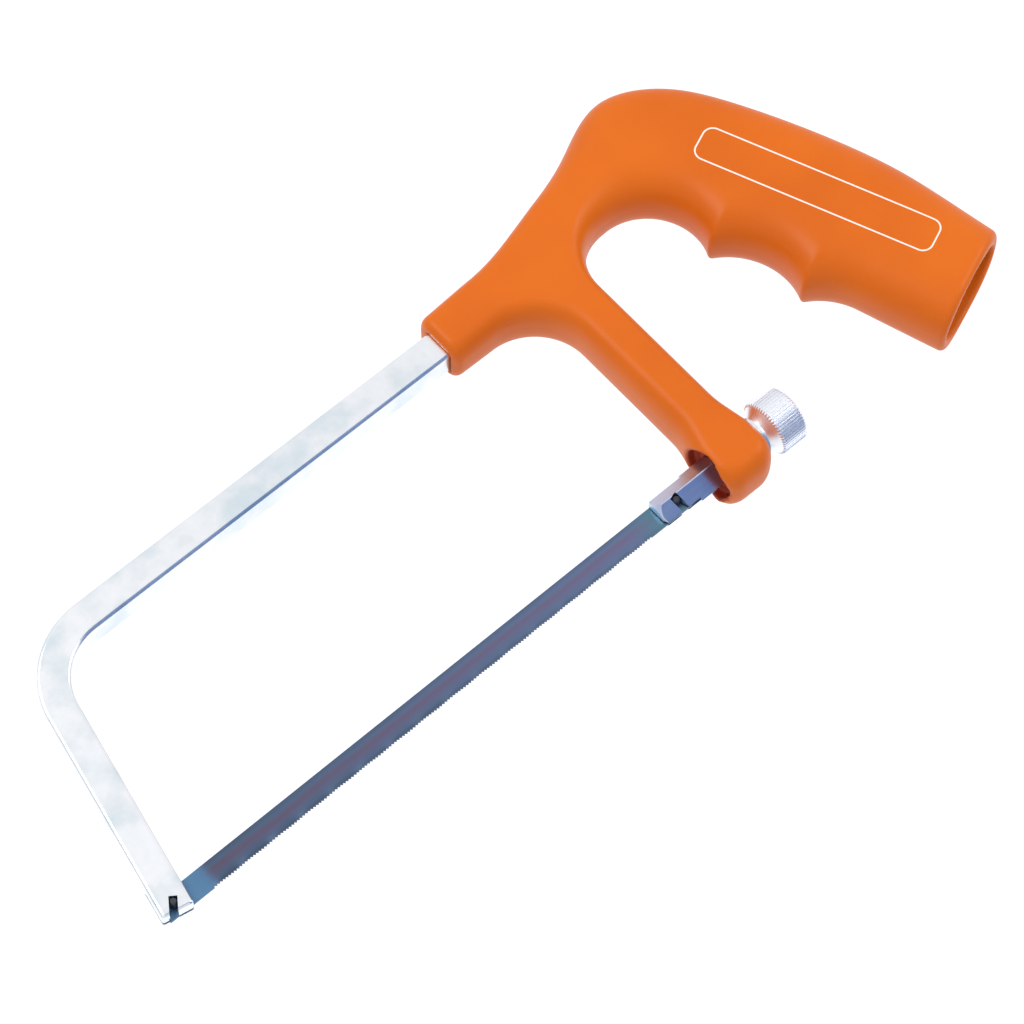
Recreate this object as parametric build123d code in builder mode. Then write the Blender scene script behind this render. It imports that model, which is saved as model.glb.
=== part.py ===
from build123d import *
import math
import os

# A junior hacksaw: one bent square bar, a moulded handle around its rear end, and a thumb nut
# that draws a hooked rod back to tighten the blade.
# Design axes: the origin is on the tension rod's axis, level with the front blade pin. +X runs
# back along the rod, +Y runs up to the bar, and +Z is square to the saw's plane. The saw is
# modelled lying on its side.

# Blade
blade_length = 150.0  # between the pins' centres
blade_width = 6.0
blade_thickness = 0.65
blade_overhang = 3.0  # strip beyond each pin
blade_rise = 0.5  # strip's middle above the pins' line
tooth_pitch = 25.4 / 32
tooth_depth = 0.45
tooth_rake = 0.13  # deepest point of a tooth's gap, ahead of the gap's middle
plain_end = 9.5  # strip without teeth, from each pin
pin_diameter = 1.8
pin_length = 7.0
pin_chamfer = 0.2
pin_drop = 0.95  # pins' line below the rod's axis
pin_clearance = 0.1  # round a pin in its notch, on every side

# Frame bar
bar_size = 8.0
bar_edge_radius = 0.9
throat_depth = 62.0  # rod's axis to the bar's underside
bend_radius = 19.0  # of the bar's centre line, both bends
front_lean = 11.3  # front arm, from square to the blade
foot_length = 3.5  # bar beyond the rod's axis
foot_edge_radius = 0.6
foot_slit_height = 5.5  # slit above the rod's axis
foot_slit_width = 1.0
foot_notch_slant = 36.0  # from square to the blade
tang_gap = 3.6  # plastic between the tang's end and the rod's guide hole

# Tension rod, set corner up
rod_square = 6.1  # across the flats
rod_edge_radius = 0.3
hook_front = 5.2  # rod ahead of the rear pin
hook_tip_radius = 2.6  # of the turned cone on the rod's front end
hook_tip_length = 1.4
hook_slit_width = 1.55
hook_slit_margin = 2.5  # slit behind the blade's end, which the blade needs to swing out
hook_notch_slant = 19.0  # from square to the blade
rod_travel = 4.0  # forward, from tight to slack
tail_shoulder = 0.55  # flats of the rod to the threaded tail, each side
tail_setback = 1.5  # square part's end ahead of the washer
tail_chamfer = 0.5
thread_pitch = 0.8
thread_clearance = 0.05  # round the threaded tail, in the nut
guide_clearance = 0.1  # between the square rod and its hole, each side
bore_clearance = 0.3  # round the tail, in the washer

# Thumb nut and washer
nut_gap = 0.05  # between the washer and the nut
nut_neck_wall = 2.15
nut_neck_length = 0.6
nut_cone_length = 2.6
nut_rise = 2.6  # from the neck out to the knurl
knurl_length = 6.4
nut_rim = 1.1  # chamfer behind the knurl
nut_tail_inset = 1.2  # tail's end inside the nut's rear face
washer_width = 2.7  # of the ring, from its hole to its outside
washer_thickness = 1.0

# Handle
arm_from_pin = 18.0  # rear pin to the rear arm's middle
arm_wall = 2.3  # plastic ahead of the bar and behind it
boss_front = 2.6  # front face at the rod, ahead of the arm's front
boss_back = 1.8  # rear face at the rod, behind the arm's back
boss_below = 9.1  # rod's axis to the arm's lower end
boss_above = 13.5  # rod's axis to where the boss ends
boss_corner_radius = 6.1
recess_wall = 2.55  # from the guide hole's corners out to the recess's side
recess_depth = 4.4
socket_reach = 26.5  # arm's front to the socket's front end
socket_flat = 18.0  # arm's middle to where the back starts to rise
socket_wall_above = 4.4
socket_wall_below = 2.7
socket_wall_side = 3.3
neck_radius = 14.5  # inner corner between the socket and the arm
finger_radius = 13.2  # corner between the arm's back and the grip's front
finger_drop = 0.5  # top of that corner, below the bar's middle
side_taper = 2.1  # of each side, widening towards the butt
edge_radius = 6.0
socket_rim_radius = 2.6
butt_rim_radius = 1.6
hollow_length = 26.0  # of the grip's opening, along the butt
hollow_thickness = 17.0
hollow_depth = 52.0
hollow_slant = 20.0  # of the hollow, from square to the blade
hollow_end_radius = 5.0

# Places and sizes that follow
pin_radius = pin_diameter / 2
pin_y = -pin_drop
strip_y = pin_y + blade_rise
notch_width = pin_diameter + 2 * pin_clearance
bar_y = throat_depth + bar_size / 2
lean = math.radians(front_lean)
front_corner_x = bar_y * math.tan(lean)
foot_end = (-foot_length * math.sin(lean), -foot_length * math.cos(lean))
arm_x = blade_length + arm_from_pin
arm_front_x = arm_x - bar_size / 2 - arm_wall
arm_back_x = arm_x + bar_size / 2 + arm_wall
boss_front_x = arm_front_x - boss_front
boss_back_x = arm_back_x + boss_back
recess_floor_x = boss_front_x + recess_depth
socket_front_x = arm_front_x - socket_reach
socket_top_y = bar_y + bar_size / 2 + socket_wall_above
socket_low_y = bar_y - bar_size / 2 - socket_wall_below
socket_side_z = bar_size / 2 + socket_wall_side
guide_square = rod_square + 2 * guide_clearance
guide_corner = guide_square / math.sqrt(2)
recess_radius = guide_corner + recess_wall
tang_end_y = guide_corner + tang_gap
tail_radius = rod_square / 2 - tail_shoulder
rod_front_x = blade_length - hook_front
rod_corner = rod_square / math.sqrt(2)
hook_slit_end_x = blade_length + blade_overhang + hook_slit_margin
washer_seat_x = boss_back_x - washer_thickness
washer_bore = tail_radius + bore_clearance
washer_radius = washer_bore + washer_width
nut_front_x = boss_back_x + nut_gap
nut_cone_x = nut_front_x + nut_neck_length
knurl_front_x = nut_cone_x + nut_cone_length
knurl_back_x = knurl_front_x + knurl_length
nut_back_x = knurl_back_x + nut_rim
nut_bore = tail_radius + thread_clearance
nut_neck_radius = nut_bore + nut_neck_wall
nut_radius = nut_neck_radius + nut_rise
rod_shoulder_x = washer_seat_x - tail_setback
rod_back_x = nut_back_x - nut_tail_inset


def notch_plane(pin_x, slant):
    """Plane through a pin's middle, turned so that the notch opens along its -Y."""
    turn = math.radians(slant)
    return Plane(origin=(pin_x, pin_y, 0), x_dir=(math.cos(turn), math.sin(turn), 0), z_dir=(0, 0, 1))


def grip_point(along, above):
    """Point on the grip, measured from the arm's middle and the bar's middle."""
    return (arm_x + along, bar_y + above)


# Frame bar: front arm, top and hidden tang in one bent bar
with BuildPart() as frame_bar:
    with BuildLine() as bar_path:
        FilletPolyline(
            foot_end,
            (front_corner_x, bar_y),
            (arm_x, bar_y),
            (arm_x, tang_end_y),
            radius=bend_radius,
        )
    with BuildSketch(Plane(origin=bar_path.line @ 0, z_dir=bar_path.line % 0)):
        RectangleRounded(bar_size, bar_size, bar_edge_radius)
    sweep()
    fillet(frame_bar.faces().sort_by(Axis.Y)[0].edges(), radius=foot_edge_radius)
    # slit for the blade, open at the foot
    with BuildSketch(Plane.XY):
        with Locations((0, foot_slit_height)):
            Rectangle(3 * bar_size, foot_slit_height + 2 * bar_size, align=(Align.CENTER, Align.MAX))
    extrude(amount=foot_slit_width / 2, both=True, mode=Mode.SUBTRACT)
    # notch for the front pin, sloping forward to its mouth
    with BuildSketch(notch_plane(0, -foot_notch_slant)):
        with Locations((0, notch_width / 2)):
            Rectangle(notch_width, 3 * bar_size, align=(Align.CENTER, Align.MAX))
    extrude(amount=bar_size, both=True, mode=Mode.SUBTRACT)
frame_bar.part.label = "frame_bar"

# Tension rod: hook, square shank and threaded tail
with BuildPart() as tension_rod:
    with BuildSketch(Plane.YZ.offset(rod_front_x)):
        RectangleRounded(rod_square, rod_square, rod_edge_radius, rotation=45)
    extrude(amount=rod_shoulder_x - rod_front_x)
    # turned cone that takes the corners off the front end
    with BuildSketch(Plane.XY):
        with BuildLine():
            Polyline(
                (rod_front_x, 0),
                (rod_front_x, hook_tip_radius),
                (rod_front_x + hook_tip_length, rod_corner),
                (rod_shoulder_x, rod_corner),
                (rod_shoulder_x, 0),
                close=True,
            )
        make_face()
    revolve(axis=Axis.X, mode=Mode.INTERSECT)
    with BuildSketch(Plane.YZ.offset(rod_shoulder_x)):
        Circle(tail_radius)
    extrude(amount=rod_back_x - rod_shoulder_x)
    chamfer(tension_rod.edges().sort_by(Axis.X)[-1], length=tail_chamfer)
    # slit for the blade's rear end
    with BuildSketch(Plane.XY):
        with Locations((hook_slit_end_x, 0)):
            Rectangle(hook_slit_end_x, 2 * rod_square, align=(Align.MAX, Align.CENTER))
    extrude(amount=hook_slit_width / 2, both=True, mode=Mode.SUBTRACT)
    # notch for the rear pin, sloping back to its mouth
    with BuildSketch(notch_plane(blade_length, hook_notch_slant)):
        with Locations((0, notch_width / 2)):
            Rectangle(notch_width, 2 * rod_square, align=(Align.CENTER, Align.MAX))
    extrude(amount=rod_square, both=True, mode=Mode.SUBTRACT)
tension_rod.part.label = "tension_rod"

# Blade: toothed strip with a hole for each pin
tooth_count = int((blade_length - 2 * plain_end) / tooth_pitch)
with BuildPart() as blade:
    with BuildSketch(Plane.XY):
        with Locations((blade_length / 2, strip_y)):
            Rectangle(blade_length + 2 * blade_overhang, blade_width)
        with Locations((0, pin_y), (blade_length, pin_y)):
            Circle(pin_radius, mode=Mode.SUBTRACT)
        with Locations((blade_length / 2, strip_y - blade_width / 2)):
            with GridLocations(tooth_pitch, 1, tooth_count, 1):
                Polygon(
                    (-tooth_pitch / 2, 0),
                    (tooth_pitch / 2, 0),
                    (-tooth_rake, tooth_depth),
                    align=None,
                    mode=Mode.SUBTRACT,
                )
    extrude(amount=blade_thickness / 2, both=True)
blade.part.label = "blade"


def cross_pin(name, pin_x):
    """Pin pressed through the blade."""
    with BuildPart() as pin:
        with BuildSketch(Plane.XY):
            with Locations((pin_x, pin_y)):
                Circle(pin_radius)
        extrude(amount=pin_length / 2, both=True)
        chamfer(pin.edges(), length=pin_chamfer)
    pin.part.label = name
    return pin


blade_front_pin = cross_pin("blade_front_pin", 0)
blade_rear_pin = cross_pin("blade_rear_pin", blade_length)

# Thumb nut: neck, cone and knurled head, turned about the rod's axis
with BuildPart() as thumb_nut:
    with BuildSketch(Plane.XY):
        with BuildLine():
            Polyline(
                (knurl_front_x, nut_radius),
                (knurl_back_x, nut_radius),
                (nut_back_x, nut_radius - nut_rim),
                (nut_back_x, nut_bore),
                (nut_front_x, nut_bore),
                (nut_front_x, nut_neck_radius),
                (nut_cone_x, nut_neck_radius),
                (knurl_front_x, nut_radius),
            )
        make_face()
    revolve(axis=Axis.X)
thumb_nut.part.label = "thumb_nut"

# Thrust washer, let into the arm's rear face
with BuildPart() as thrust_washer:
    with BuildSketch(Plane.YZ.offset(washer_seat_x)):
        Circle(washer_radius)
        Circle(washer_bore, mode=Mode.SUBTRACT)
    extrude(amount=washer_thickness)
thrust_washer.part.label = "thrust_washer"

# Core of the grip, which leaves the handle hollow and open at the butt
butt_back = grip_point(87.4, -66.1)
butt_front = grip_point(58.3, -77.5)
butt_middle = (Vector(*butt_back) + Vector(*butt_front)) / 2
butt_slope = Vector(*butt_back) - Vector(*butt_front)
butt_out = Vector(butt_slope.Y, -butt_slope.X).normalized()
hollow_turn = math.radians(hollow_slant)
hollow_up = Vector(-math.sin(hollow_turn), math.cos(hollow_turn))
with BuildPart() as grip_core:
    with BuildSketch(Plane(origin=butt_middle, x_dir=(0, 0, 1), z_dir=hollow_up).offset(-hollow_length / 2)):
        Ellipse(hollow_thickness / 2, hollow_length / 2)
    extrude(amount=hollow_depth + hollow_length / 2)
    fillet(grip_core.faces().sort_by(Axis((0, 0, 0), hollow_up))[-1].edges(), radius=hollow_end_radius)

# Handle, with its outline clockwise from the socket's underside
back_end_direction = (0.17, -0.98)  # of the grip's back, where it meets the butt
groove_3_direction = (-7.3, 22.0)  # of the grip's front, where the lowest groove starts
groove_3_end = grip_point(51.0, -55.5)
ridge_2 = grip_point(42.0, -45.5)
ridge_1 = grip_point(33.5, -22.1)
finger_top = (arm_back_x + finger_radius, bar_y - finger_drop)
finger_low = (arm_back_x, bar_y - finger_drop - finger_radius)
neck_low = (arm_front_x, socket_low_y - neck_radius)
neck_top = (arm_front_x - neck_radius, socket_low_y)
socket_back = (arm_x - socket_flat, socket_top_y)
with BuildPart() as handle:
    with BuildSketch(Plane.XY):
        with BuildLine():
            Polyline(neck_top, (socket_front_x, socket_low_y), (socket_front_x, socket_top_y), socket_back)
            Spline(
                socket_back,
                grip_point(2.2, 12.1),
                grip_point(22.2, 18.8),
                grip_point(39.3, 25.0),
                grip_point(52.5, 19.3),
                grip_point(64.9, 2.9),
                grip_point(80.0, -31.6),
                butt_back,
                tangents=[(1, 0), back_end_direction],
            )
            Polyline(butt_back, butt_front, groove_3_end)
            TangentArc(groove_3_end, ridge_2, tangent=groove_3_direction)
            ThreePointArc(ridge_2, grip_point(43.6, -35.5), ridge_1)
            ThreePointArc(ridge_1, grip_point(31.8, -5.5), finger_top)
            TangentArc(finger_top, finger_low, tangent=(-1, 0))
            Line(finger_low, (arm_back_x, boss_above))
            Spline((arm_back_x, boss_above), (boss_back_x, 0), tangents=[(0, -1), (0, -1)])
            FilletPolyline(
                (boss_back_x, 0),
                (boss_back_x, -boss_below),
                (boss_front_x, -boss_below),
                (boss_front_x, 0),
                radius=boss_corner_radius,
            )
            Spline((boss_front_x, 0), (arm_front_x, boss_above), tangents=[(0, 1), (0, 1)])
            Line((arm_front_x, boss_above), neck_low)
            TangentArc(neck_low, neck_top, tangent=(0, 1))
        make_face()
    extrude(amount=2 * socket_side_z, both=True)
    # both sides slope in towards the socket
    for side in (1, -1):
        turn = math.radians(side_taper)
        slope = Vector(-math.sin(turn), 0, side * math.cos(turn))
        split(
            bisect_by=Plane(origin=(socket_front_x, 0, side * socket_side_z), z_dir=slope),
            keep=Keep.BOTTOM,
        )
    # round every long edge, but not the socket's end nor the butt
    socket_end = handle.faces().sort_by(Axis.X)[0]
    butt_face = handle.faces().sort_by(Axis(butt_front, butt_out))[-1]
    sides = handle.faces().sort_by(Axis.Z)[0].edges() + handle.faces().sort_by(Axis.Z)[-1].edges()
    fillet(sides - socket_end.edges() - butt_face.edges(), radius=edge_radius)
    fillet(handle.faces().sort_by(Axis.X)[0].edges(), radius=socket_rim_radius)
    fillet(handle.faces().sort_by(Axis(butt_front, butt_out))[-1].edges(), radius=butt_rim_radius)
    # room for the bar that the handle is moulded round, and the hollow grip
    add(frame_bar.part, mode=Mode.SUBTRACT)
    add(grip_core.part, mode=Mode.SUBTRACT)
    # recess, guide hole and washer seat along the rod's axis
    with BuildSketch(Plane.YZ.offset(boss_front_x - edge_radius)):
        Circle(recess_radius)
    extrude(amount=edge_radius + recess_depth, mode=Mode.SUBTRACT)
    with BuildSketch(Plane.YZ.offset(recess_floor_x)):
        RectangleRounded(guide_square, guide_square, rod_edge_radius, rotation=45)
    extrude(amount=washer_seat_x - recess_floor_x, mode=Mode.SUBTRACT)
    with BuildSketch(Plane.YZ.offset(washer_seat_x)):
        Circle(washer_radius)
    extrude(amount=2 * washer_thickness, mode=Mode.SUBTRACT)
handle.part.label = "handle"

# The saw's origin is under its middle, with the saw lying on its side
pieces = [
    frame_bar,
    handle,
    thrust_washer,
    tension_rod,
    thumb_nut,
    blade,
    blade_front_pin,
    blade_rear_pin,
]
saw_box = Compound([piece.part for piece in pieces]).bounding_box()
to_base = Pos(-saw_box.center().X, -saw_box.center().Y, -saw_box.min.Z)
os.makedirs("parts", exist_ok=True)
for piece in pieces:
    placed = to_base * piece.part
    placed.label = piece.part.label
    export_step(placed, f"parts/{placed.label}.step")

# Places and motions that the record states
print("shift to the base:", to_base.position)
print("saw size:", saw_box.size)
for name, point in {
    "front pin": (0, pin_y, 0),
    "rear pin": (blade_length, pin_y, 0),
    "nut axis": (nut_front_x, 0, 0),
}.items():
    print(name, to_base.position + Vector(*point))
pin_swing = rod_travel / math.tan(math.radians(hook_notch_slant)) / blade_length
print("nut turns from tight to slack:", rod_travel / thread_pitch)
print("blade swing from tight to slack:", math.degrees(pin_swing))
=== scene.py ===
import math
import bmesh
import bpy
import numpy as np
from mathutils import Matrix, Vector


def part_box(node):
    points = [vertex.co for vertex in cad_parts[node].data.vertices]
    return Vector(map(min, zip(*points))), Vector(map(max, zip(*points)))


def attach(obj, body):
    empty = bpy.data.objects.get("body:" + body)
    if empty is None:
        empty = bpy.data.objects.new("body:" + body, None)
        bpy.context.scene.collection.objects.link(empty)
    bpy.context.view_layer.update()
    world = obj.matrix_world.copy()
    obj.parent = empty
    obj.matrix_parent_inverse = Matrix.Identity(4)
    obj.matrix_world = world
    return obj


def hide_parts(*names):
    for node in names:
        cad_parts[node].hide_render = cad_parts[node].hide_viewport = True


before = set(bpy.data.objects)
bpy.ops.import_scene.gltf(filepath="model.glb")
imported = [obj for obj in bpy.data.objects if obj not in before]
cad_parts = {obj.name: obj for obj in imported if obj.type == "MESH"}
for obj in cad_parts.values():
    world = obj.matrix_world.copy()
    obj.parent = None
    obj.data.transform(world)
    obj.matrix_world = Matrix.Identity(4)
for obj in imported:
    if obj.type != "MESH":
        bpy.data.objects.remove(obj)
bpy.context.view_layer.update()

# The saw lies on its side. Pieces are drawn in millimetres on the maker's axes: X back along the
# tension rod, Y up to the bar, Z square to the saw, and X = 0 at the front blade pin.
mm = 0.001
rodLow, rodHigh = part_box("tension_rod")
pinLow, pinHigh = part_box("blade_front_pin")
origin = Vector(((pinLow.x + pinHigh.x) / 2, (rodLow.y + rodHigh.y) / 2, (rodLow.z + rodHigh.z) / 2))
toRow = Matrix.Translation(origin) @ Matrix.Scale(mm, 4)


def boxInMm(node):
    low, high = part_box(node)
    return (low - origin) / mm, (high - origin) / mm


def middleInMm(node):
    low, high = boxInMm(node)
    return (low + high) / 2


def linear(hexColour):
    # sRGB hex to the linear colour that the shaders take
    parts = [int(hexColour[i:i + 2], 16) / 255 for i in (0, 2, 4)]
    return [c / 12.92 if c <= 0.04045 else ((c + 0.055) / 1.055) ** 2.4 for c in parts] + [1.0]


def addNode(tree, kind, inputs=None, stops=None, **settings):
    # inputs are values, or sockets to link from; stops are the places and colours of a colour ramp
    node = tree.nodes.new(kind)
    for name, value in settings.items():
        setattr(node, name, value)
    for name, value in (inputs or {}).items():
        if isinstance(value, bpy.types.NodeSocket):
            tree.links.new(value, node.inputs[name])
        else:
            node.inputs[name].default_value = value
    if stops:
        elements = node.color_ramp.elements
        while len(elements) < len(stops):
            elements.new(0.5)
        for element, (position, colour) in zip(elements, stops):
            element.position = position
            element.color = linear(colour) if isinstance(colour, str) else [colour] * 3 + [1.0]
    return node


def newMaterial(name):
    # material, its tree, its shader, and the object's place in the maker's millimetres
    material = bpy.data.materials.new(name)
    material.use_nodes = True
    tree = material.node_tree
    shader = tree.nodes["Principled BSDF"]
    place = addNode(tree, "ShaderNodeTexCoord").outputs["Object"]
    shift = [-c / mm for c in origin]
    inMm = addNode(tree, "ShaderNodeMapping", {"Vector": place, "Location": shift, "Scale": [1 / mm] * 3})
    return material, tree, shader, inMm.outputs["Vector"]


def pieceFrom(mesh, name, material, body, replaced):
    mesh.transform(toRow)
    piece = bpy.data.objects.new(name, mesh)
    bpy.context.scene.collection.objects.link(piece)
    mesh.materials.clear()
    mesh.materials.append(material)
    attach(piece, body)
    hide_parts(replaced)
    return piece


def working(bm, name):
    # an object to model on, from a bmesh that is done with
    mesh = bpy.data.meshes.new(name)
    bm.to_mesh(mesh)
    bm.free()
    piece = bpy.data.objects.new(name, mesh)
    bpy.context.scene.collection.objects.link(piece)
    return piece


def evaluated(piece):
    # the mesh with its modifiers applied, and the working object removed
    bpy.context.view_layer.update()
    mesh = bpy.data.meshes.new_from_object(piece.evaluated_get(bpy.context.evaluated_depsgraph_get()))
    bpy.data.objects.remove(piece)
    return mesh


def shadeSmooth(mesh, sharpAngle):
    mesh.polygons.foreach_set("use_smooth", [True] * len(mesh.polygons))
    mesh.set_sharp_from_angle(angle=math.radians(sharpAngle))


# Handle: polypropylene, injection moulded with a fine spark-eroded texture. Satin, a little
# translucent, with soft broad highlights that break up on the texture.
handleSpec = {
    # the solid, in millimetres and degrees
    "halfThickness": 7.3, "sideTaper": 2.1,  # at the socket, widening towards the butt
    "radiusAt": [(140, 4.6), (176, 4.6), (195, 9.0), (225, 11.0), (252, 14.0)],  # edges, by X
    "squareAt": [(140, 2.6), (176, 2.5), (200, 2.35), (225, 2.5), (252, 2.5)],  # 2 is round, by X
    "buttBack": (255.38, -0.04), "buttFront": (226.28, -11.44),
    "hollowLength": 26.6, "hollowThickness": 17.4, "hollowDepth": 52.0, "hollowSlant": 20.0,
    "recessRadius": 7.0, "recessFloor": 163.5,
    "guideSquare": 6.3, "guideSpan": (145.0, 185.0), "bossEnd": 190.0,
    "washerSeat": 175.1, "washerRadius": 5.55,
    "barSize": 8.0, "barFit": 0.12, "barCorner": 0.9, "barPocket": 9.0,
    "tangX": 168.0, "bend": 19.0, "tangEnd": 8.0,  # the bar's tang inside the arm
    "socketRim": 2.2, "buttRim": 1.6, "mouthRim": 0.7, "recessRim": 1.0, "pocketRim": 0.5,
    "hollowEnd": 5.0,
    # what of the CAD section is left out: openings with a margin, and both ends
    "hollowMargin": 1.0, "tangMargin": 0.6, "rodMargin": 0.05, "rodSpan": (150.0, 180.0),
    "socketMargin": 3.2, "buttMargin": 2.2,
    # points that close the boss's skin over the rod's openings
    "bossSkin": [(159.55, 3.5), (159.1, 0.0), (159.1, -3.0), (159.44, -5.0),
                 (175.8, 3.5), (176.1, 0.0), (176.1, -3.0), (175.76, -5.0)],
    # runs that end this near to the socket or the butt are drawn on past it
    "nearSocket": 18.0, "nearButt": 14.0, "drawnPast": 25.0,
    # the skin
    "cell": 0.3, "creaseBlur": 4, "blankHalf": 11.0, "sharpAngle": 50.0,
    "passes": [(0.8, 10), (0.55, 8)],  # voxel size, rounds of settling
    # the finish
    # the inside colour is painted shade: deep red for the unlit inside of the rod's recess
    "colour": "D26403", "colourDeep": "CB5E03", "colourPaintedShade": "9C2E10", "colourParting": "C2551A",
    "flowScale": 0.035,  # colour drifts over about 30 mm
    "roughness": (0.36, 0.45), "ior": 1.49, "specular": 0.24,
    "translucency": 0.12, "depthOfLight": 1.2, "lightReach": (1.0, 0.35, 0.08),
    "grain": 0.42, "grainDepth": 0.035, "grainStrength": 0.55, "partingWidth": 0.16,
    "recessShade": (7.9, 7.0), "recessBack": (176.0, 174.0),  # fades in from the first to the second
    # the printed outline on the grip
    "inkColour": "FBE3DA", "inkCentre": (228.3, 35.4), "inkTurn": -68.0, "inkHalf": (31.0, 4.6),
    "inkCorner": 2.6, "inkLine": 0.19, "inkSoft": 0.25, "inkAbove": (8.9, 9.1),
}


def printedOutline(tree, place):
    # 1 on the printed line, by the distance to a rounded rectangle, on the grip's outer side alone
    spec = handleSpec
    corner, line, soft = spec["inkCorner"], spec["inkLine"], spec["inkSoft"]
    half = (spec["inkHalf"][0] - corner, spec["inkHalf"][1] - corner, 1000.0)
    turn = (0.0, 0.0, math.radians(spec["inkTurn"]))
    away = addNode(tree, "ShaderNodeVectorMath", {0: place, 1: (*spec["inkCentre"], 0.0)},
                   operation="SUBTRACT")
    away = addNode(tree, "ShaderNodeVectorRotate", {"Vector": away.outputs[0], "Rotation": turn},
                   rotation_type="EULER_XYZ", invert=True)
    away = addNode(tree, "ShaderNodeVectorMath", {0: away.outputs[0]}, operation="ABSOLUTE")
    away = addNode(tree, "ShaderNodeVectorMath", {0: away.outputs[0], 1: half}, operation="SUBTRACT")
    away = addNode(tree, "ShaderNodeVectorMath", {0: away.outputs[0], 1: (0, 0, 0)}, operation="MAXIMUM")
    away = addNode(tree, "ShaderNodeVectorMath", {0: away.outputs[0]}, operation="LENGTH")
    edge = addNode(tree, "ShaderNodeMath", {0: away.outputs["Value"], 1: corner}, operation="SUBTRACT")
    edge = addNode(tree, "ShaderNodeMath", {0: edge.outputs[0]}, operation="ABSOLUTE")
    ink = addNode(tree, "ShaderNodeMapRange", {
        "Value": edge.outputs[0], "From Min": line * (1 + soft), "From Max": line * (1 - soft)})
    height = addNode(tree, "ShaderNodeSeparateXYZ", {"Vector": place}).outputs["Z"]
    outer = addNode(tree, "ShaderNodeMapRange", {
        "Value": height, "From Min": spec["inkAbove"][0], "From Max": spec["inkAbove"][1]})
    ink = addNode(tree, "ShaderNodeMath", {0: ink.outputs["Result"], 1: outer.outputs["Result"]},
                  operation="MULTIPLY")
    return ink.outputs[0]


def partingLine(tree, place):
    # 1 on the mould's parting line, all round at the saw's plane
    height = addNode(tree, "ShaderNodeSeparateXYZ", {"Vector": place}).outputs["Z"]
    height = addNode(tree, "ShaderNodeMath", {0: height}, operation="ABSOLUTE").outputs[0]
    return addNode(tree, "ShaderNodeMapRange", {
        "Value": height, "From Min": handleSpec["partingWidth"], "From Max": 0.0}).outputs["Result"]


def paintedRecessShade(tree, place):
    # 1 inside the rod's recess, where a deep red is painted shade for the unlit hollow
    (outer, inner), (back, ahead) = handleSpec["recessShade"], handleSpec["recessBack"]
    around = addNode(tree, "ShaderNodeVectorMath", {0: place, 1: (0, 1, 1)}, operation="MULTIPLY")
    around = addNode(tree, "ShaderNodeVectorMath", {0: around.outputs[0]}, operation="LENGTH")
    around = addNode(tree, "ShaderNodeMapRange", {
        "Value": around.outputs["Value"], "From Min": outer, "From Max": inner})
    along = addNode(tree, "ShaderNodeSeparateXYZ", {"Vector": place}).outputs["X"]
    along = addNode(tree, "ShaderNodeMapRange", {"Value": along, "From Min": back, "From Max": ahead})
    return addNode(tree, "ShaderNodeMath", {0: around.outputs["Result"], 1: along.outputs["Result"]},
                   operation="MULTIPLY").outputs[0]


def handlePlastic():
    spec = handleSpec
    material, tree, shader, place = newMaterial("mouldedPolypropylene")
    flow = addNode(tree, "ShaderNodeTexNoise", {"Vector": place, "Scale": spec["flowScale"], "Detail": 2.0})
    colour = addNode(tree, "ShaderNodeValToRGB", {"Fac": flow.outputs["Fac"]},
                     stops=[(0.35, spec["colourDeep"]), (0.65, spec["colour"])]).outputs["Color"]
    parting = partingLine(tree, place)
    # over the base colour: the print, the parting line, and painted shade inside the rod's recess
    for share, over in ((printedOutline(tree, place), "inkColour"), (parting, "colourParting"),
                        (paintedRecessShade(tree, place), "colourPaintedShade")):
        colour = addNode(tree, "ShaderNodeMix", {"Factor": share, "A": colour, "B": linear(spec[over])},
                         data_type="RGBA").outputs["Result"]
    tree.links.new(colour, shader.inputs["Base Color"])
    # the real grains are about 0.2 mm, too fine to show, so they are drawn twice as coarse
    grain = addNode(tree, "ShaderNodeTexNoise", {"Vector": place, "Scale": 1 / spec["grain"], "Detail": 3.0})
    raised = addNode(tree, "ShaderNodeMath", {0: grain.outputs["Fac"], 1: parting}, operation="ADD")
    bump = addNode(tree, "ShaderNodeBump", {
        "Height": raised.outputs[0], "Strength": spec["grainStrength"], "Distance": spec["grainDepth"] * mm})
    tree.links.new(bump.outputs["Normal"], shader.inputs["Normal"])
    gloss = addNode(tree, "ShaderNodeMapRange", {
        "Value": flow.outputs["Fac"], "To Min": spec["roughness"][0], "To Max": spec["roughness"][1]})
    tree.links.new(gloss.outputs["Result"], shader.inputs["Roughness"])
    shader.inputs["IOR"].default_value = spec["ior"]
    shader.inputs["Specular IOR Level"].default_value = spec["specular"]
    shader.inputs["Subsurface Weight"].default_value = spec["translucency"]
    shader.inputs["Subsurface Radius"].default_value = spec["lightReach"]
    shader.inputs["Subsurface Scale"].default_value = spec["depthOfLight"] * mm
    return material


socketX = boxInMm("handle")[0].x
barY = boxInMm("frame_bar")[1].y - handleSpec["barSize"] / 2
buttBack, buttFront = (np.array(handleSpec[name]) for name in ("buttBack", "buttFront"))
buttMiddle = (buttBack + buttFront) / 2
buttAlong = (buttBack - buttFront) / np.linalg.norm(buttBack - buttFront)
buttOut = np.array((buttAlong[1], -buttAlong[0]))
hollowTurn = math.radians(handleSpec["hollowSlant"])
hollowUp = np.array((-math.sin(hollowTurn), math.cos(hollowTurn)))
hollowAcross = np.array((math.cos(hollowTurn), math.sin(hollowTurn)))


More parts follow.
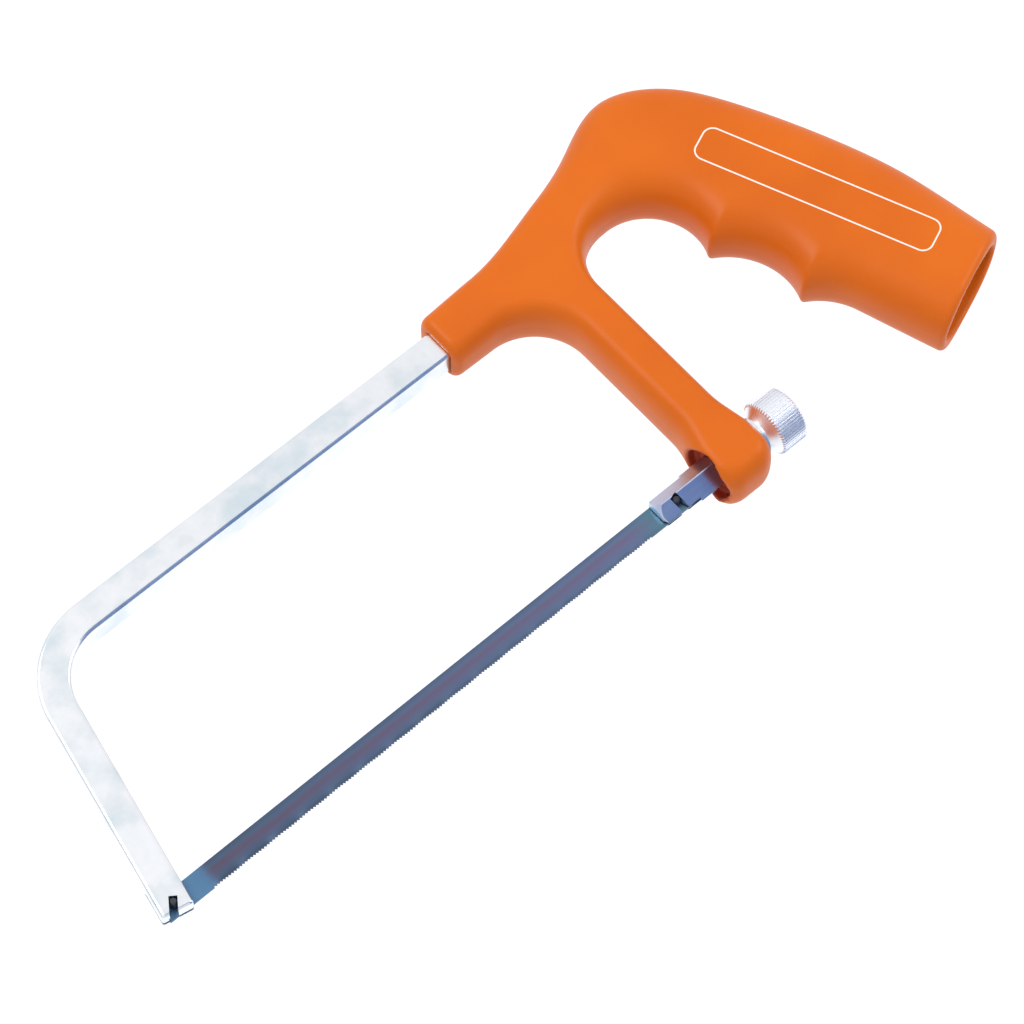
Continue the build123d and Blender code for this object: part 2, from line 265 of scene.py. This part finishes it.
def sectionLoops():
    # the CAD handle cut at the saw's plane
    bm = bmesh.new()
    bm.from_mesh(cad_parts["handle"].data)
    bm.transform(toRow.inverted())
    bmesh.ops.remove_doubles(bm, verts=bm.verts, dist=0.001)
    geometry = bm.verts[:] + bm.edges[:] + bm.faces[:]
    cut = bmesh.ops.bisect_plane(bm, geom=geometry, dist=0.001, plane_co=(0, 0, 0), plane_no=(0, 0, 1))
    edges = {e for e in cut["geom_cut"] if isinstance(e, bmesh.types.BMEdge)}
    loops = []
    while edges:
        edge = edges.pop()
        loop = [edge.verts[0], edge.verts[1]]
        while True:
            following = [e for e in loop[-1].link_edges if e in edges]
            if not following:
                break
            edges.discard(following[0])
            loop.append(following[0].other_vert(loop[-1]))
        points = np.array([(v.co.x, v.co.y) for v in loop])
        step = np.linalg.norm(np.diff(points, axis=0), axis=1)
        loops.append(points[1:][step > 0.01])
    bm.free()
    return loops


def outside(points):
    # which of the section's points are on the outside, clear of both ends and of every opening
    spec = handleSpec
    x, y = points.T
    fromButt = points - buttMiddle
    across, up = np.abs(fromButt @ hollowAcross), fromButt @ hollowUp
    hollow = (across < spec["hollowLength"] / 2) & (up < spec["hollowDepth"] + spec["hollowMargin"])
    bend, tangX = spec["bend"], spec["tangX"]
    bendX, bendY = tangX - bend, barY - bend
    fromBend = np.abs(np.hypot(x - bendX, y - bendY) - bend)
    fromTang = np.where(y < bendY, np.abs(x - tangX), fromBend)
    fromBar = np.where(x < bendX, np.abs(y - barY), fromTang)
    tang = (fromBar < spec["barSize"] / 2 + spec["tangMargin"]) & (y > spec["tangEnd"])
    rodStart, rodEnd = spec["rodSpan"]
    inRecess = x < (spec["recessFloor"] + spec["washerSeat"]) / 2
    rodRadius = np.where(inRecess, spec["recessRadius"], spec["washerRadius"]) + spec["rodMargin"]
    rod = (x > rodStart) & (x < rodEnd) & (np.abs(y) < rodRadius)
    pastButt = (points - buttFront) @ buttOut > -spec["buttMargin"]
    return ~(hollow | tang | rod | pastButt | (x < socketX + spec["socketMargin"]))


def outsideRuns():
    # runs of outside points, those that reach an end drawn on straight past it
    spec = handleSpec
    runs = []
    for loop in sectionLoops():
        keep = outside(loop)
        if not keep.any():
            continue
        first = np.argmin(keep)
        loop, keep = np.roll(loop, -first, axis=0), np.roll(keep, -first)
        for run in np.split(loop, np.flatnonzero(np.diff(keep.astype(int))) + 1):
            if outside(run).all() and len(run) > 4:
                runs.append(run)
    for i, run in enumerate(runs):
        for tip, inner in ((0, 2), (-1, -3)):
            nearSocket = run[tip, 0] < socketX + spec["nearSocket"]
            if nearSocket or (run[tip] - buttFront) @ buttOut > -spec["nearButt"]:
                away = run[tip] - run[inner]
                longer = run[tip] + away / np.linalg.norm(away) * spec["drawnPast"]
                runs[i] = np.vstack([longer, runs[i]] if tip == 0 else [runs[i], longer])
    return runs


def drawnOutline():
    # the runs and the boss's own points, joined end to end by whichever is nearest
    runs = [np.array([point]) for point in handleSpec["bossSkin"]] + outsideRuns()
    outline = max(runs, key=len)
    runs = [run for run in runs if run is not outline]
    while runs:
        gaps = [(np.linalg.norm(run[tip] - outline[-1]), i, tip)
                for i, run in enumerate(runs) for tip in (0, -1)]
        _, i, tip = min(gaps)
        run = runs.pop(i)
        outline = np.vstack([outline, run if tip == 0 else run[::-1]])
    return outline


def distanceGrid(polygon):
    # how far each cell is inside the drawn-out outline
    cell, margin = handleSpec["cell"], 2.0
    low, high = polygon.min(0) - margin, polygon.max(0) + margin
    xs, ys = np.arange(low[0], high[0], cell), np.arange(low[1], high[1], cell)
    x, y = np.meshgrid(xs, ys, indexing="ij")
    nearest = np.full(x.shape, np.inf)
    inside = np.zeros(x.shape, bool)
    for (ax, ay), (bx, by) in zip(polygon, np.roll(polygon, -1, axis=0)):
        dx, dy = bx - ax, by - ay
        along = np.clip(((x - ax) * dx + (y - ay) * dy) / (dx * dx + dy * dy), 0, 1)
        nearest = np.minimum(nearest, (x - ax - along * dx) ** 2 + (y - ay - along * dy) ** 2)
        if dy:
            inside ^= ((ay > y) != (by > y)) & (x < dx * (y - ay) / dy + ax)
    grid = np.sqrt(nearest) * np.where(inside, 1, -1)
    for _ in range(handleSpec["creaseBlur"]):
        # the middle counts for half, and its four neighbours for the rest
        grid[1:-1, 1:-1] = (grid[1:-1, 1:-1] * 4 + grid[:-2, 1:-1] + grid[2:, 1:-1]
                            + grid[1:-1, :-2] + grid[1:-1, 2:]) / 8
    return low, grid


def readGrid(field, x, y):
    # the grid's value between its cells
    low, grid = field
    gx = np.clip((x - low[0]) / handleSpec["cell"], 0, grid.shape[0] - 1.001)
    gy = np.clip((y - low[1]) / handleSpec["cell"], 0, grid.shape[1] - 1.001)
    i, j = gx.astype(int), gy.astype(int)
    u, v = gx - i, gy - j
    return ((grid[i, j] * (1 - u) + grid[i + 1, j] * u) * (1 - v)
            + (grid[i, j + 1] * (1 - u) + grid[i + 1, j + 1] * u) * v)


def roundBoth(a, b, radius):
    # inside both, with a rounded edge where they meet
    corner = np.hypot(np.maximum(a + radius, 0), np.maximum(b + radius, 0))
    return np.minimum(-radius, np.maximum(a, b)) + corner


def handleSurface(points, field):
    # below zero inside the plastic, above zero outside
    spec = handleSpec
    x, y, z = points.T
    depth = readGrid(field, x, y)
    radius = np.interp(x, *zip(*spec["radiusAt"]))
    square = np.interp(x, *zip(*spec["squareAt"]))
    half = spec["halfThickness"] + (x - socketX) * math.tan(math.radians(spec["sideTaper"]))
    out, up = np.maximum(1 - depth / radius, 0), np.maximum(np.abs(z) / half, 0.001)
    grow = (out ** square + up ** square) ** (1 / square)
    skin = (grow - 1) * np.hypot(radius * out, half * up) / np.hypot(out, up)
    plan = points[:, :2]
    skin = roundBoth(skin, socketX - x, spec["socketRim"])
    skin = roundBoth(skin, (plan - buttFront) @ buttOut, spec["buttRim"])
    fromButt = plan - buttMiddle
    across, along = fromButt @ hollowAcross, fromButt @ hollowUp
    a, b = spec["hollowLength"] / 2, spec["hollowThickness"] / 2
    bore = (np.hypot(across / a, z / b) - 1) * b
    hollow = roundBoth(bore, along - spec["hollowDepth"], spec["hollowEnd"])
    skin = roundBoth(skin, -hollow, spec["mouthRim"])
    ring = np.hypot(y, z)
    recess = np.maximum(ring - spec["recessRadius"], x - spec["recessFloor"])
    skin = roundBoth(skin, -recess, spec["recessRim"])
    guide = (np.abs(y) + np.abs(z)) / math.sqrt(2) - spec["guideSquare"] / 2
    seat = np.maximum(ring - spec["washerRadius"], spec["washerSeat"] - x)
    skin = np.maximum(skin, -np.maximum(np.minimum(guide, seat), x - spec["bossEnd"]))
    flat = spec["barSize"] / 2 + spec["barFit"] - spec["barCorner"]
    bar = np.hypot(np.maximum(np.abs(y - barY) - flat, 0), np.maximum(np.abs(z) - flat, 0))
    bar = np.maximum(bar - spec["barCorner"], x - socketX - spec["barPocket"])
    return roundBoth(skin, -bar, spec["pocketRim"])


def settle(mesh, field, rounds):
    # every vertex moves square to the surface until it lies on it
    probe, flattest, longest = 0.04, 0.2, 1.5
    points = np.empty(len(mesh.vertices) * 3)
    mesh.vertices.foreach_get("co", points)
    points = points.reshape(-1, 3)
    for _ in range(rounds):
        value = handleSurface(points, field)
        nudged = [handleSurface(points + probe * axis, field) - value for axis in np.eye(3)]
        slope = np.stack(nudged, 1) / probe
        steep = np.maximum((slope ** 2).sum(1), flattest)
        points += np.clip(-value[:, None] * slope / steep[:, None], -longest, longest)
    mesh.vertices.foreach_set("co", points.ravel())
    mesh.update()


def openings():
    # kind and place of each cutter: grip, rod recess, washer seat, guide hole, bar pocket, both ends
    spec = handleSpec
    past, block = 10.0, 40.0  # cutters run on this far out of the plastic; size of the end cutters
    along = Matrix.Rotation(math.pi / 2, 4, "Y")
    lean = Matrix.Rotation(hollowTurn, 4, "Z") @ Matrix.Rotation(math.pi / 2, 4, "X")
    recess, seat = spec["recessRadius"], spec["washerRadius"]
    guide, (guideStart, guideEnd) = spec["guideSquare"], spec["guideSpan"]
    pocket = spec["barSize"] + 2 * spec["barFit"]
    hollowMiddle = buttMiddle + hollowUp * (spec["hollowDepth"] / 2 - past)
    buttBlock = buttMiddle + buttOut * block / 2
    buttTurn = Matrix.Rotation(math.atan2(buttAlong[1], buttAlong[0]), 4, "Z")
    places = [
        # kind, middle, turn, size before the turn
        ("round", (*hollowMiddle, 0.0), lean,
         (spec["hollowLength"] / 2, spec["hollowThickness"] / 2, spec["hollowDepth"] + 2 * past)),
        ("round", (spec["recessFloor"] - past, 0, 0), along, (recess, recess, 2 * past)),
        ("round", (spec["washerSeat"] + past / 2, 0, 0), along, (seat, seat, past)),
        ("square", ((guideStart + guideEnd) / 2, 0, 0), Matrix.Rotation(math.pi / 4, 4, "X"),
         (guideEnd - guideStart, guide, guide)),
        ("square", (socketX, barY, 0), Matrix(), (2 * spec["barPocket"], pocket, pocket)),
        ("square", (socketX - block / 2, barY, 0), Matrix(), (block, 1.5 * block, block)),
        ("square", (*buttBlock, 0.0), buttTurn, (2 * block, block, block)),
    ]
    return [(kind, Matrix.Translation(middle) @ turn @ Matrix.Diagonal((*size, 1)))
            for kind, middle, turn, size in places]


def cutOpenings(blank):
    cutters = []
    for kind, matrix in openings():
        bm = bmesh.new()
        if kind == "round":
            bmesh.ops.create_cone(bm, cap_ends=True, segments=48, radius1=1, radius2=1, depth=1,
                                  matrix=matrix)
        else:
            bmesh.ops.create_cube(bm, size=1, matrix=matrix)
        bmesh.ops.recalc_face_normals(bm, faces=bm.faces)
        cutters.append(working(bm, "cutter"))
        cut = blank.modifiers.new("opening", "BOOLEAN")
        cut.object = cutters[-1]
        cut.solver = "EXACT"
    return cutters


def mouldedHandle():
    outline = drawnOutline()
    field = distanceGrid(outline)
    bm = bmesh.new()
    half = handleSpec["blankHalf"]
    floor = bm.faces.new([bm.verts.new((*point, -half)) for point in outline])
    raised = bmesh.ops.extrude_face_region(bm, geom=[floor])
    lifted = [v for v in raised["geom"] if isinstance(v, bmesh.types.BMVert)]
    bmesh.ops.translate(bm, verts=lifted, vec=(0, 0, 2 * half))
    bmesh.ops.recalc_face_normals(bm, faces=bm.faces)
    blank = working(bm, "handleBlank")
    cutters = cutOpenings(blank)
    for voxel, rounds in handleSpec["passes"]:
        remesh = blank.modifiers.new("evenSkin", "REMESH")
        remesh.mode = "VOXEL"
        remesh.voxel_size = voxel
        mesh = evaluated(blank)
        settle(mesh, field, rounds)
        blank = bpy.data.objects.new("handleSkin", mesh)
        bpy.context.scene.collection.objects.link(blank)
    for spent in [blank] + cutters:
        bpy.data.objects.remove(spent)
    shadeSmooth(mesh, handleSpec["sharpAngle"])
    return mesh


handle = pieceFrom(mouldedHandle(), "moulded_handle", handlePlastic(), "frame", "handle")
print("handle:", len(handle.data.polygons), "faces")


# Thumb nut: free-cutting steel, turned, straight knurled and nickel plated. Bright on the cone and
# the ends, with a comb of fine highlights along the knurl.
nutSpec = {
    "neckRadius": 4.7, "neck": 0.6, "cone": 2.6, "dish": 0.3, "radius": 7.3, "rim": 1.1, "bore": 2.58,
    "neckEdge": 0.25, "rimEdge": (0.15, 0.2), "boreEdge": 0.5, "sharpAngle": 22.0,
    "teeth": 56, "knurl": 6.4, "knurlDepth": 0.5, "knurlEdge": (0.15, 0.1),
    "crest": 0.1, "valley": 0.12,  # half widths, as shares of a tooth
    "colours": ("F4F5F8", "FDFDFE"), "roughness": 0.3, "streak": 1.4, "streakDepth": 0.004,
    "streakStretch": (3.0, 0.4, 0.4),
}


def nutProfile(lower):
    # X and radius, from the bore's front, over the outside, to the bore's back; lower is the depth
    # of the knurl's groove
    spec = nutSpec
    front = boxInMm("thumb_nut")[0].x
    coneX = front + spec["neck"]
    knurlX = coneX + spec["cone"]
    backX = knurlX + spec["knurl"]
    endX = backX + spec["rim"]
    neck, bore, rise = spec["neckRadius"], spec["bore"], spec["radius"] - spec["neckRadius"]
    top, shoulder = spec["radius"] - lower, spec["radius"] - spec["rim"]
    dished = [(coneX + s * spec["cone"], neck + s * rise - 4 * s * (1 - s) * spec["dish"])
              for s in (0.2, 0.5, 0.8)]
    return [
        (front, bore), (front, neck - spec["neckEdge"]), (front + spec["neckEdge"], neck), (coneX, neck),
        *dished,
        (knurlX - lower * spec["cone"] / rise, top), (knurlX + spec["knurlEdge"][0], top),
        (backX - spec["knurlEdge"][1], top), (backX + lower, top),
        (endX - spec["rimEdge"][0], shoulder + spec["rimEdge"][0]), (endX, shoulder - spec["rimEdge"][1]),
        (endX, bore + spec["boreEdge"]), (endX - spec["boreEdge"], bore),
    ]


def knurledNut():
    # one tooth, spun round the rod
    spec = nutSpec
    bm = bmesh.new()
    deep = spec["knurlDepth"]
    sections = [(-spec["crest"], 0.0), (spec["crest"], 0.0), (0.5 - spec["valley"], deep),
                (0.5 + spec["valley"], deep), (1 - spec["crest"], 0.0)]
    loops = []
    for share, lower in sections:
        turn = Matrix.Rotation(2 * math.pi / spec["teeth"] * share, 3, "X")
        ring = [bm.verts.new(turn @ Vector((x, r, 0))) for x, r in nutProfile(lower)]
        loops.append([bm.edges.new(pair) for pair in zip(ring, ring[1:] + ring[:1])])
    for left, right in zip(loops, loops[1:]):
        bmesh.ops.bridge_loops(bm, edges=left + right)
    bmesh.ops.spin(bm, geom=bm.verts[:] + bm.edges[:] + bm.faces[:], cent=(0, 0, 0), axis=(1, 0, 0),
                   angle=2 * math.pi, steps=spec["teeth"], use_duplicate=True, use_merge=True)
    bmesh.ops.remove_doubles(bm, verts=bm.verts, dist=0.001)
    bmesh.ops.recalc_face_normals(bm, faces=bm.faces)
    mesh = evaluated(working(bm, "knurledNut"))
    shadeSmooth(mesh, spec["sharpAngle"])
    return mesh


plate = {
    # the clouds' tint is painted reflection; their spread of gloss is the plate's own
    "cloudScale": 0.09, "paintedReflectionEdges": (0.34, 0.52), "tintEdges": (0.2, 0.8),
    "glossSpread": (0.7, 1.4), "streakStrength": 0.35,
}


def platedSteel(name, colours, roughness, streak, streakDepth, streakStretch, paintedReflectionTint="FFFFFF"):
    # steel under bright plate: fine lines along the way it was drawn or turned, faint clouding
    # of the gloss, and clouds of tint that are painted reflection where a tint is given
    material, tree, shader, place = newMaterial(name)
    lines = addNode(tree, "ShaderNodeMapping", {"Vector": place, "Scale": streakStretch})
    fine = addNode(tree, "ShaderNodeTexNoise", {
        "Vector": lines.outputs["Vector"], "Scale": streak, "Detail": 4.0})
    cloud = addNode(tree, "ShaderNodeTexNoise", {
        "Vector": place, "Scale": plate["cloudScale"], "Detail": 3.0})
    smoothest, roughest = plate["glossSpread"]
    gloss = addNode(tree, "ShaderNodeMapRange", {
        "Value": cloud.outputs["Fac"], "To Min": roughness * smoothest, "To Max": roughness * roughest})
    tree.links.new(gloss.outputs["Result"], shader.inputs["Roughness"])
    tint = addNode(tree, "ShaderNodeValToRGB", {"Fac": fine.outputs["Fac"]},
                   stops=list(zip(plate["tintEdges"], colours)))
    # clouds of tint multiplied into the base colour: painted reflection of pale blue patches
    paintedReflection = addNode(tree, "ShaderNodeValToRGB", {"Fac": cloud.outputs["Fac"]},
                   stops=list(zip(plate["paintedReflectionEdges"], (paintedReflectionTint, "FFFFFF"))))
    withPaintedReflection = addNode(tree, "ShaderNodeMix", {
        "Factor": 1.0, "A": tint.outputs["Color"], "B": paintedReflection.outputs["Color"]},
        data_type="RGBA", blend_type="MULTIPLY")
    tree.links.new(withPaintedReflection.outputs["Result"], shader.inputs["Base Color"])
    bump = addNode(tree, "ShaderNodeBump", {
        "Height": fine.outputs["Fac"], "Strength": plate["streakStrength"],
        "Distance": streakDepth * mm})
    tree.links.new(bump.outputs["Normal"], shader.inputs["Normal"])
    shader.inputs["Metallic"].default_value = 1.0
    return material


nutPlate = platedSteel("nickelPlatedTurnedSteel", nutSpec["colours"], nutSpec["roughness"],
                       nutSpec["streak"], nutSpec["streakDepth"], nutSpec["streakStretch"])
nut = pieceFrom(knurledNut(), "knurled_nut", nutPlate, "nut", "thumb_nut")
print("nut:", len(nut.data.polygons), "faces")


# Blade: hardened carbon steel strip, blued in the furnace. Dark blue-grey with a purple-brown
# heat tint along the middle, lighter blue where the ends were softened.
bladeSpec = {
    "teeth": 165, "pitch": 25.4 / 32, "toothDepth": 0.45, "rake": 0.13, "thickness": 0.65,
    "set": 0.2, "setLength": 8.6, "setHeight": 1.5, "setFade": 3.0, "setPast": 0.5,  # wavy set
    "pinRadius": 0.9, "backEdge": 0.3, "plainSteps": (6.0, 0.4, 0.0), "sharpAngle": 30.0,
    "heatAt": (0.0, 0.2, 0.42, 0.58, 0.78, 1.0),  # across the strip, from the teeth
    "heatFront": ("3F4D60", "495A70", "52576C", "5A5063", "4C5B70", "465366"),
    "heatBack": ("56657C", "677694", "6E7294", "746C88", "697898", "5E6C86"),
    "heatDrift": 1.6, "driftStretch": (0.05, 0.35, 0.35),
    # along the strip, from pin to pin
    "endTint": [(0.0, "5C7F9F"), (0.06, "557898"), (0.08, "58607A"), (0.9, "62708C"),
                (0.955, "5A8490"), (1.0, "6D8D9C")],
    "endShare": [(0.0, 1.0), (0.066, 1.0), (0.08, 0.0), (0.9, 0.0), (0.965, 0.8)],
    "grindScale": 1.5, "grindStretch": (0.12, 4.0, 4.0), "grindDepth": 0.012, "grindStrength": 0.5,
    "roughness": (0.28, 0.46),
}


def toothedStrip():
    # flat strip with its teeth, lying on the XY plane
    spec = bladeSpec
    low, high = boxInMm("blade")
    middle, half = (low.x + high.x) / 2, spec["teeth"] * spec["pitch"] / 2
    width = high.y - low.y
    levels = [0, spec["setHeight"] / 2, spec["setHeight"], width / 2, width - spec["backEdge"], width]
    columns, rows = 2 * spec["teeth"], len(levels) - 1
    bm = bmesh.new()
    bmesh.ops.create_grid(bm, x_segments=columns, y_segments=rows, size=0.5)
    for v in bm.verts:
        column, row = round((v.co.x + 0.5) * columns), round((v.co.y + 0.5) * rows)
        v.co.x = middle - half + column * spec["pitch"] / 2
        v.co.y = low.y + levels[row]
        if column % 2:
            v.co.x -= spec["rake"]
            if row == 0:
                v.co.y += spec["toothDepth"]
    for side, target in ((-1, low.x), (1, high.x)):
        end = [e for e in bm.edges if e.is_boundary
               and all(abs(v.co.x - middle - side * half) < 0.01 for v in e.verts)]
        for step in spec["plainSteps"]:
            moved = bmesh.ops.extrude_edge_only(bm, edges=end)
            end = [e for e in moved["geom"] if isinstance(e, bmesh.types.BMEdge)]
            for v in {v for e in end for v in e.verts}:
                v.co.x = target - side * step
    return bm


def toothedBlade():
    spec = bladeSpec
    low, high = boxInMm("blade")
    middle, half = (low.x + high.x) / 2, spec["teeth"] * spec["pitch"] / 2
    bm = toothedStrip()
    bmesh.ops.translate(bm, verts=bm.verts, vec=(0, 0, -spec["thickness"] / 2))
    bmesh.ops.recalc_face_normals(bm, faces=bm.faces)
    raised = bmesh.ops.extrude_face_region(bm, geom=bm.faces[:])
    lifted = [v for v in raised["geom"] if isinstance(v, bmesh.types.BMVert)]
    bmesh.ops.translate(bm, verts=lifted, vec=(0, 0, spec["thickness"]))
    # wavy set: the toothed edge swings from side to side, and stops short of the plain ends
    for v in bm.verts:
        share = max(0.0, 1 - (v.co.y - low.y) / spec["setHeight"])
        fade = (half + spec["setPast"] - abs(v.co.x - middle)) / spec["setFade"]
        swing = spec["set"] * math.sin(2 * math.pi * v.co.x / spec["setLength"])
        v.co.z += swing * share * min(1.0, max(0.0, fade))
    bmesh.ops.recalc_face_normals(bm, faces=bm.faces)
    strip = working(bm, "strip")
    holes = bmesh.new()
    for node in ("blade_front_pin", "blade_rear_pin"):
        bmesh.ops.create_cone(holes, cap_ends=True, segments=48, radius1=spec["pinRadius"],
                              radius2=spec["pinRadius"], depth=4,
                              matrix=Matrix.Translation(middleInMm(node)))
    punch = working(holes, "punch")
    cut = strip.modifiers.new("pinHoles", "BOOLEAN")
    cut.object = punch
    cut.solver = "EXACT"
    mesh = evaluated(strip)
    bpy.data.objects.remove(punch)
    shadeSmooth(mesh, spec["sharpAngle"])
    return mesh


def bluedSteel():
    spec = bladeSpec
    low, high = boxInMm("blade")
    material, tree, shader, place = newMaterial("bluedSpringSteel")
    parts = addNode(tree, "ShaderNodeSeparateXYZ", {"Vector": place})
    # the heat tint runs along the strip, and wanders a little across it
    stretched = addNode(tree, "ShaderNodeMapping", {"Vector": place, "Scale": spec["driftStretch"]})
    drift = addNode(tree, "ShaderNodeTexNoise", {
        "Vector": stretched.outputs["Vector"], "Scale": 1.0, "Detail": 3.0})
    across = addNode(tree, "ShaderNodeMath", {
        0: drift.outputs["Fac"], 1: spec["heatDrift"], 2: -spec["heatDrift"] / 2}, operation="MULTIPLY_ADD")
    across = addNode(tree, "ShaderNodeMath", {0: parts.outputs["Y"], 1: across.outputs[0]}, operation="ADD")
    across = addNode(tree, "ShaderNodeMapRange", {
        "Value": across.outputs[0], "From Min": low.y, "From Max": high.y}).outputs["Result"]
    along = addNode(tree, "ShaderNodeMapRange", {
        "Value": parts.outputs["X"], "From Min": middleInMm("blade_front_pin").x,
        "From Max": middleInMm("blade_rear_pin").x}).outputs["Result"]
    heatFront = addNode(tree, "ShaderNodeValToRGB", {"Fac": across},
                        stops=list(zip(spec["heatAt"], spec["heatFront"])))
    heatBack = addNode(tree, "ShaderNodeValToRGB", {"Fac": across},
                       stops=list(zip(spec["heatAt"], spec["heatBack"])))
    heat = addNode(tree, "ShaderNodeMix", {
        "Factor": along, "A": heatFront.outputs["Color"], "B": heatBack.outputs["Color"]}, data_type="RGBA")
    endTint = addNode(tree, "ShaderNodeValToRGB", {"Fac": along}, stops=spec["endTint"])
    endShare = addNode(tree, "ShaderNodeValToRGB", {"Fac": along}, stops=spec["endShare"])
    colour = addNode(tree, "ShaderNodeMix", {
        "Factor": endShare.outputs["Color"], "A": heat.outputs["Result"], "B": endTint.outputs["Color"]},
        data_type="RGBA")
    tree.links.new(colour.outputs["Result"], shader.inputs["Base Color"])
    grind = addNode(tree, "ShaderNodeMapping", {"Vector": place, "Scale": spec["grindStretch"]})
    fine = addNode(tree, "ShaderNodeTexNoise", {
        "Vector": grind.outputs["Vector"], "Scale": spec["grindScale"], "Detail": 4.0})
    bump = addNode(tree, "ShaderNodeBump", {
        "Height": fine.outputs["Fac"], "Strength": spec["grindStrength"],
        "Distance": spec["grindDepth"] * mm})
    tree.links.new(bump.outputs["Normal"], shader.inputs["Normal"])
    gloss = addNode(tree, "ShaderNodeMapRange", {
        "Value": fine.outputs["Fac"], "To Min": spec["roughness"][0], "To Max": spec["roughness"][1]})
    tree.links.new(gloss.outputs["Result"], shader.inputs["Roughness"])
    shader.inputs["Metallic"].default_value = 1.0
    return material


blade = pieceFrom(toothedBlade(), "toothed_blade", bluedSteel(), "blade", "blade")
print("blade:", len(blade.data.polygons), "faces")


# Pieces that keep their CAD shape. Bar: cold-drawn square steel, bright nickel plate, with pale blue
# clouds of painted reflection. Rod: the same bar, zinc plated and blue passivated, so it is duller
# and bluer. Pins and washer: turned steel; the pins' near-black colour is painted shade.
alongRod, everyWay = (0.04, 3.0, 3.0), (1.0, 1.0, 1.0)
finishes = {
    # name, colours, roughness, streaks: scale, depth and stretch, pale blue clouds of painted reflection
    "frame_bar": ("nickelPlatedDrawnSteel", ("F0F2F4", "FBFBFB"), 0.2, 0.5, 0.004, (0.5, 0.5, 0.5), "EAF3F6"),
    "tension_rod": ("bluePassivatedZincSteel", ("BECAE2", "D0D9EC"), 0.3, 1.2, 0.01, alongRod),
    "thrust_washer": ("nickelPlatedWasherSteel", ("E8EAEC", "F6F6F7"), 0.24, 1.5, 0.006, everyWay),
    # the pins' near-black colour is painted shade, for the shadow in the blade's notches
    "blade_front_pin": ("pinSteelPaintedShade", ("3C3F45", "4C5056"), 0.4, 1.5, 0.01, everyWay),
}
steels = {node: platedSteel(*finish) for node, finish in finishes.items()}
steels["blade_rear_pin"] = steels["blade_front_pin"]
for node, steel in steels.items():
    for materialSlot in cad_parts[node].material_slots:
        materialSlot.material = steel
print("finishes:", len(steels), "pieces")


# Stage: pale floor well below the saw, pale surround, soft lamps, and blue-grey cards out of
# view that give the bright metal something to reflect
studio = {
    "floorColours": ("F5F6F7", "F7F7F8"), "floorSize": 12.0, "floorDrop": 0.5,
    "surround": "F6F8FC", "surroundStrength": 0.96, "sheetRoughness": 0.7, "sheetSpecular": 0.2,
    "lamps": [
        # place, size, power in watts, colour
        ((-0.6, 0.9, 1.5), 1.0, 12.0, "FFFFFF"),
        ((1.1, -0.4, 1.2), 0.8, 7.0, "F8FAFF"),
    ],
    "cards": [
        # place, width, height, lean, turn, colour
        ((0.42, -1.3, 0.4), 1.1, 1.8, 90.0, 0.0, "6A80A8"),
        ((0.4, -0.83, 1.53), 1.1, 1.05, 25.3, 0.0, "7388AE"),
        ((0.35, -0.87, -0.49), 1.1, 0.84, 0.0, 0.0, "7F93B5"),
        ((-1.2, 0.45, 0.45), 0.8, 0.35, 90.0, 90.0, "8C9AA8"),
    ],
    "target": (-0.004949, -0.017155, 0.011484), "distance": 0.9407, "azimuth": -41.37, "elevation": 63.5,
    "lens": 142.7, "sensor": 36.0,
}


def stageSheet(name, width, height, matrix, colours):
    bm = bmesh.new()
    bmesh.ops.create_grid(bm, x_segments=1, y_segments=1, size=0.5,
                          matrix=matrix @ Matrix.Diagonal((width, height, 1, 1)))
    sheet = working(bm, name)
    paint, tree, shader, place = newMaterial(name + "Paint")
    speck = addNode(tree, "ShaderNodeTexNoise", {"Vector": place, "Scale": 0.02, "Detail": 2.0})
    tint = addNode(tree, "ShaderNodeValToRGB", {"Fac": speck.outputs["Fac"]},
                   stops=[(0.3, colours[0]), (0.7, colours[1])])
    tree.links.new(tint.outputs["Color"], shader.inputs["Base Color"])
    shader.inputs["Roughness"].default_value = studio["sheetRoughness"]
    shader.inputs["Specular IOR Level"].default_value = studio["sheetSpecular"]
    sheet.data.materials.append(paint)
    return sheet


def floorAndCards():
    stageSheet("paleFloor", studio["floorSize"], studio["floorSize"],
               Matrix.Translation((0, 0, -studio["floorDrop"])), studio["floorColours"])
    for place, width, height, lean, turn, colour in studio["cards"]:
        matrix = (Matrix.Translation(place) @ Matrix.Rotation(math.radians(turn), 4, "Z")
                  @ Matrix.Rotation(math.radians(lean), 4, "X"))
        card = stageSheet("reflectedCard", width, height, matrix, (colour, colour))
        card.visible_camera = card.visible_diffuse = card.visible_shadow = False


def surroundAndLamps():
    world = bpy.data.worlds.new("paleSurround")
    bpy.context.scene.world = world
    world.use_nodes = True
    background = world.node_tree.nodes["Background"]
    background.inputs["Color"].default_value = linear(studio["surround"])
    background.inputs["Strength"].default_value = studio["surroundStrength"]
    for place, size, power, colour in studio["lamps"]:
        lamp = bpy.data.lights.new("softLamp", "AREA")
        lamp.shape = "DISK"
        lamp.size = size
        lamp.energy = power
        lamp.color = linear(colour)[:3]
        holder = bpy.data.objects.new("softLamp", lamp)
        holder.location = place
        holder.rotation_euler = (-Vector(place)).to_track_quat("-Z", "Y").to_euler()
        bpy.context.scene.collection.objects.link(holder)


def studioCamera():
    view = bpy.data.cameras.new("studioCamera")
    view.lens = studio["lens"]
    view.sensor_width = studio["sensor"]
    camera = bpy.data.objects.new("studioCamera", view)
    a, e = math.radians(studio["azimuth"]), math.radians(studio["elevation"])
    back = Vector((math.sin(a) * math.cos(e), -math.cos(a) * math.cos(e), math.sin(e)))
    camera.location = Vector(studio["target"]) + back * studio["distance"]
    camera.rotation_euler = (-back).to_track_quat("-Z", "Y").to_euler()
    bpy.context.scene.collection.objects.link(camera)
    bpy.context.scene.camera = camera
    bpy.context.scene.view_settings.view_transform = "Standard"


floorAndCards()
surroundAndLamps()
studioCamera()
print("studio: ready")
